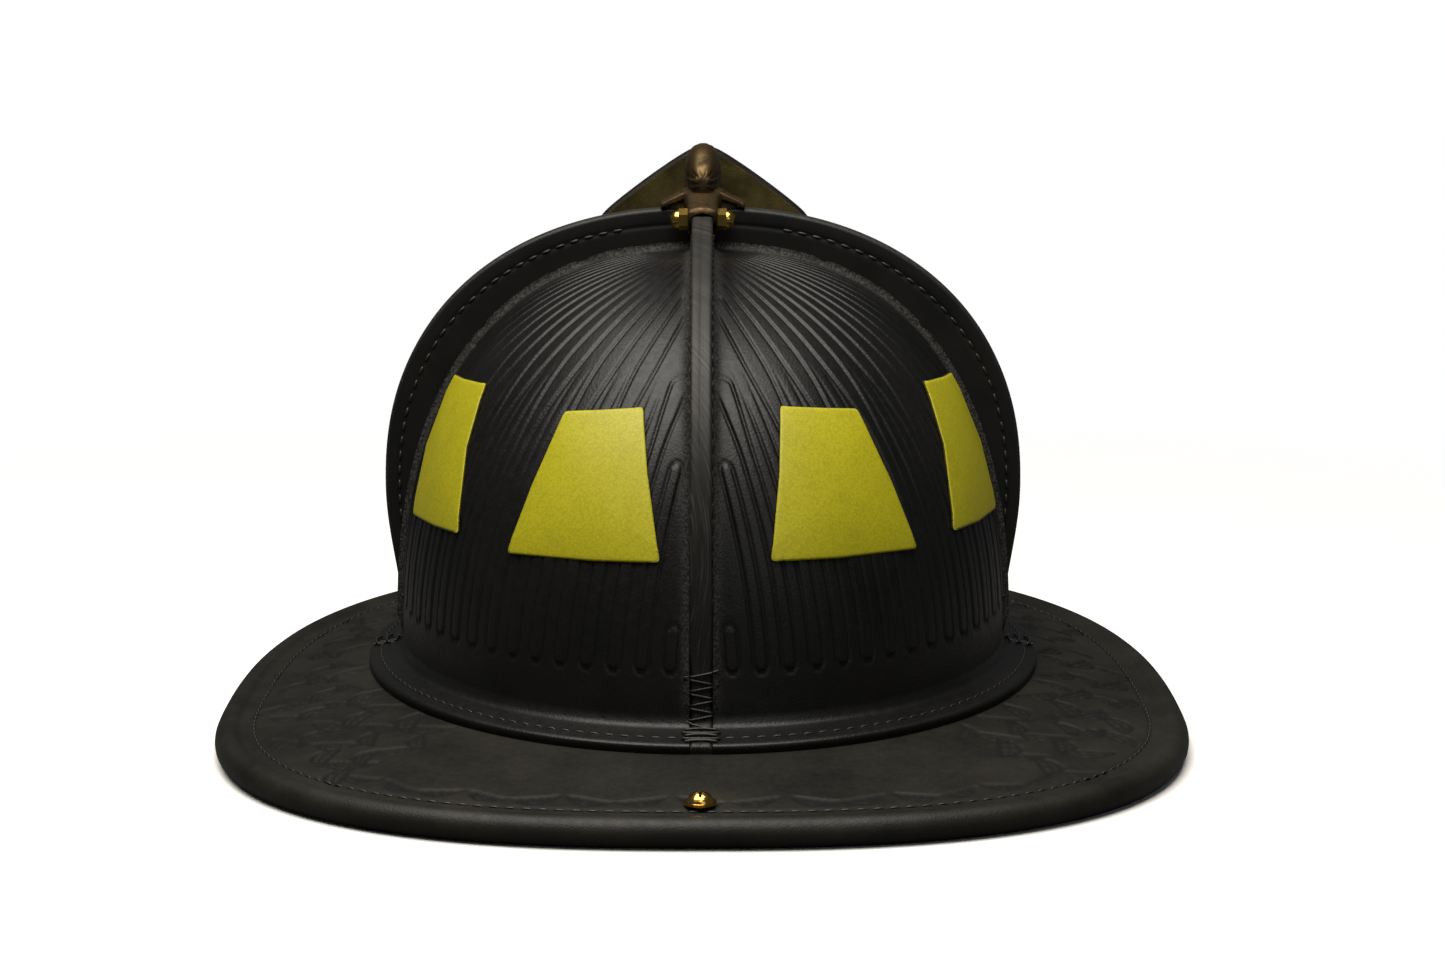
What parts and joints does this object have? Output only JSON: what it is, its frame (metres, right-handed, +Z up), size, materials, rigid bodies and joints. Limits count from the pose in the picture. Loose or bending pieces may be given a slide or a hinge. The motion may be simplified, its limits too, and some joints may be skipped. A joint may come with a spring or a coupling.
{
  "type": "firefighter helmet",
  "caption": "Traditional leather fire helmet with combed crown, wide rolled brim, reflective patches, brass front-piece holder, front shield and ratchet headband.",
  "frame": {"origin": "under the middle of the brim's length and width, on the surface that the brim stands on", "axes": "+Z up, the helmet's front faces -Y, the wearer's left is +X"},
  "size_m": [0.316, 0.375, 0.188],
  "materials": {
    "black_leather": "waxed black leather, embossed and satin",
    "brim_leather": "waxed black leather, carved and satin",
    "reflective_trim": "lime-yellow reflective sheet",
    "brass": "aged brass",
    "shield_leather": "undyed back of the shield leather",
    "panel_leather": "black leather",
    "shell_composite": "moulded thermoplastic",
    "impact_foam": "dense urethane foam",
    "webbing": "woven nylon webbing",
    "brow_cloth": "flame-resistant cotton",
    "earlap_cloth": "flame-resistant cloth",
    "steel": "nickel-plated steel",
    "band_plastic": "moulded nylon"
  },
  "bodies": {
    "helmet": {"brim": "brim_leather", "brim_wire": "brass", "brow_pad": "brow_cloth", "buckle_plug": "band_plastic", "buckle_socket": "band_plastic", "chinstrap_left": "webbing", "chinstrap_right": "webbing", "chinstrap_rivets": "steel", "comb_front": "black_leather", "comb_left": "black_leather", "comb_rear": "black_leather", "comb_right": "black_leather", "crown_front_left": "black_leather", "crown_front_right": "black_leather", "crown_rear_left": "black_leather", "crown_rear_right": "black_leather", "crown_strap_1": "webbing", "crown_strap_2": "webbing", "crown_strap_3": "webbing", "earlap": "earlap_cloth", "foam_impact_cap": "impact_foam", "front_piece_holder": "brass", "front_shield": "shield_leather", "hang_ring_tab": "brass", "headband": "band_plastic", "holder_acorn_nuts": "brass", "holder_bolt": "brass", "inner_shell": "shell_composite", "ratchet_cover": "band_plastic", "ratchet_housing": "band_plastic", "rear_nut": "brass", "rear_screw": "brass", "rear_washer": "brass", "reflective_front_inner_left": "reflective_trim", "reflective_front_inner_right": "reflective_trim", "reflective_front_outer_left": "reflective_trim", "reflective_front_outer_right": "reflective_trim", "reflective_rear_inner_left": "reflective_trim", "reflective_rear_inner_right": "reflective_trim", "reflective_rear_outer_left": "reflective_trim", "reflective_rear_outer_right": "reflective_trim", "shield_bracket": "brass", "shield_lower_panel": "panel_leather", "shield_screws": "brass", "shield_upper_panel": "panel_leather", "strap_keys": "band_plastic"},
    "ratchet_knob": {"ratchet_knob": "band_plastic", "ratchet_pinion": "band_plastic"},
    "rack_left": {"rack_left": "band_plastic"},
    "rack_right": {"rack_right": "band_plastic"},
    "hang_ring": {"hang_ring": "brass"}
  },
  "joints": [
    {"name": "knob_turn", "type": "hinge", "parent": "helmet", "child": "ratchet_knob", "pos_m": [0, 0.0885, 0.03], "axis": [0, 1, 0], "range_deg": [-170, 170]},
    {"name": "rack_left_slide", "type": "slide", "parent": "helmet", "child": "rack_left", "axis": [1, 0, 0], "range_m": [-0.01336, 0.01336]},
    {"name": "rack_right_slide", "type": "slide", "parent": "helmet", "child": "rack_right", "axis": [-1, 0, 0], "range_m": [-0.01336, 0.01336]},
    {"name": "hang_ring_swing", "type": "hinge", "parent": "helmet", "child": "hang_ring", "pos_m": [0, 0.1525, 0.0046], "axis": [1, 0, 0], "range_deg": [-8, 150]}
  ],
  "couplings": [
    {"joint": "rack_left_slide", "follows": "knob_turn", "m_per_rad": 0.0045},
    {"joint": "rack_right_slide", "follows": "knob_turn", "m_per_rad": 0.0045}
  ]
}
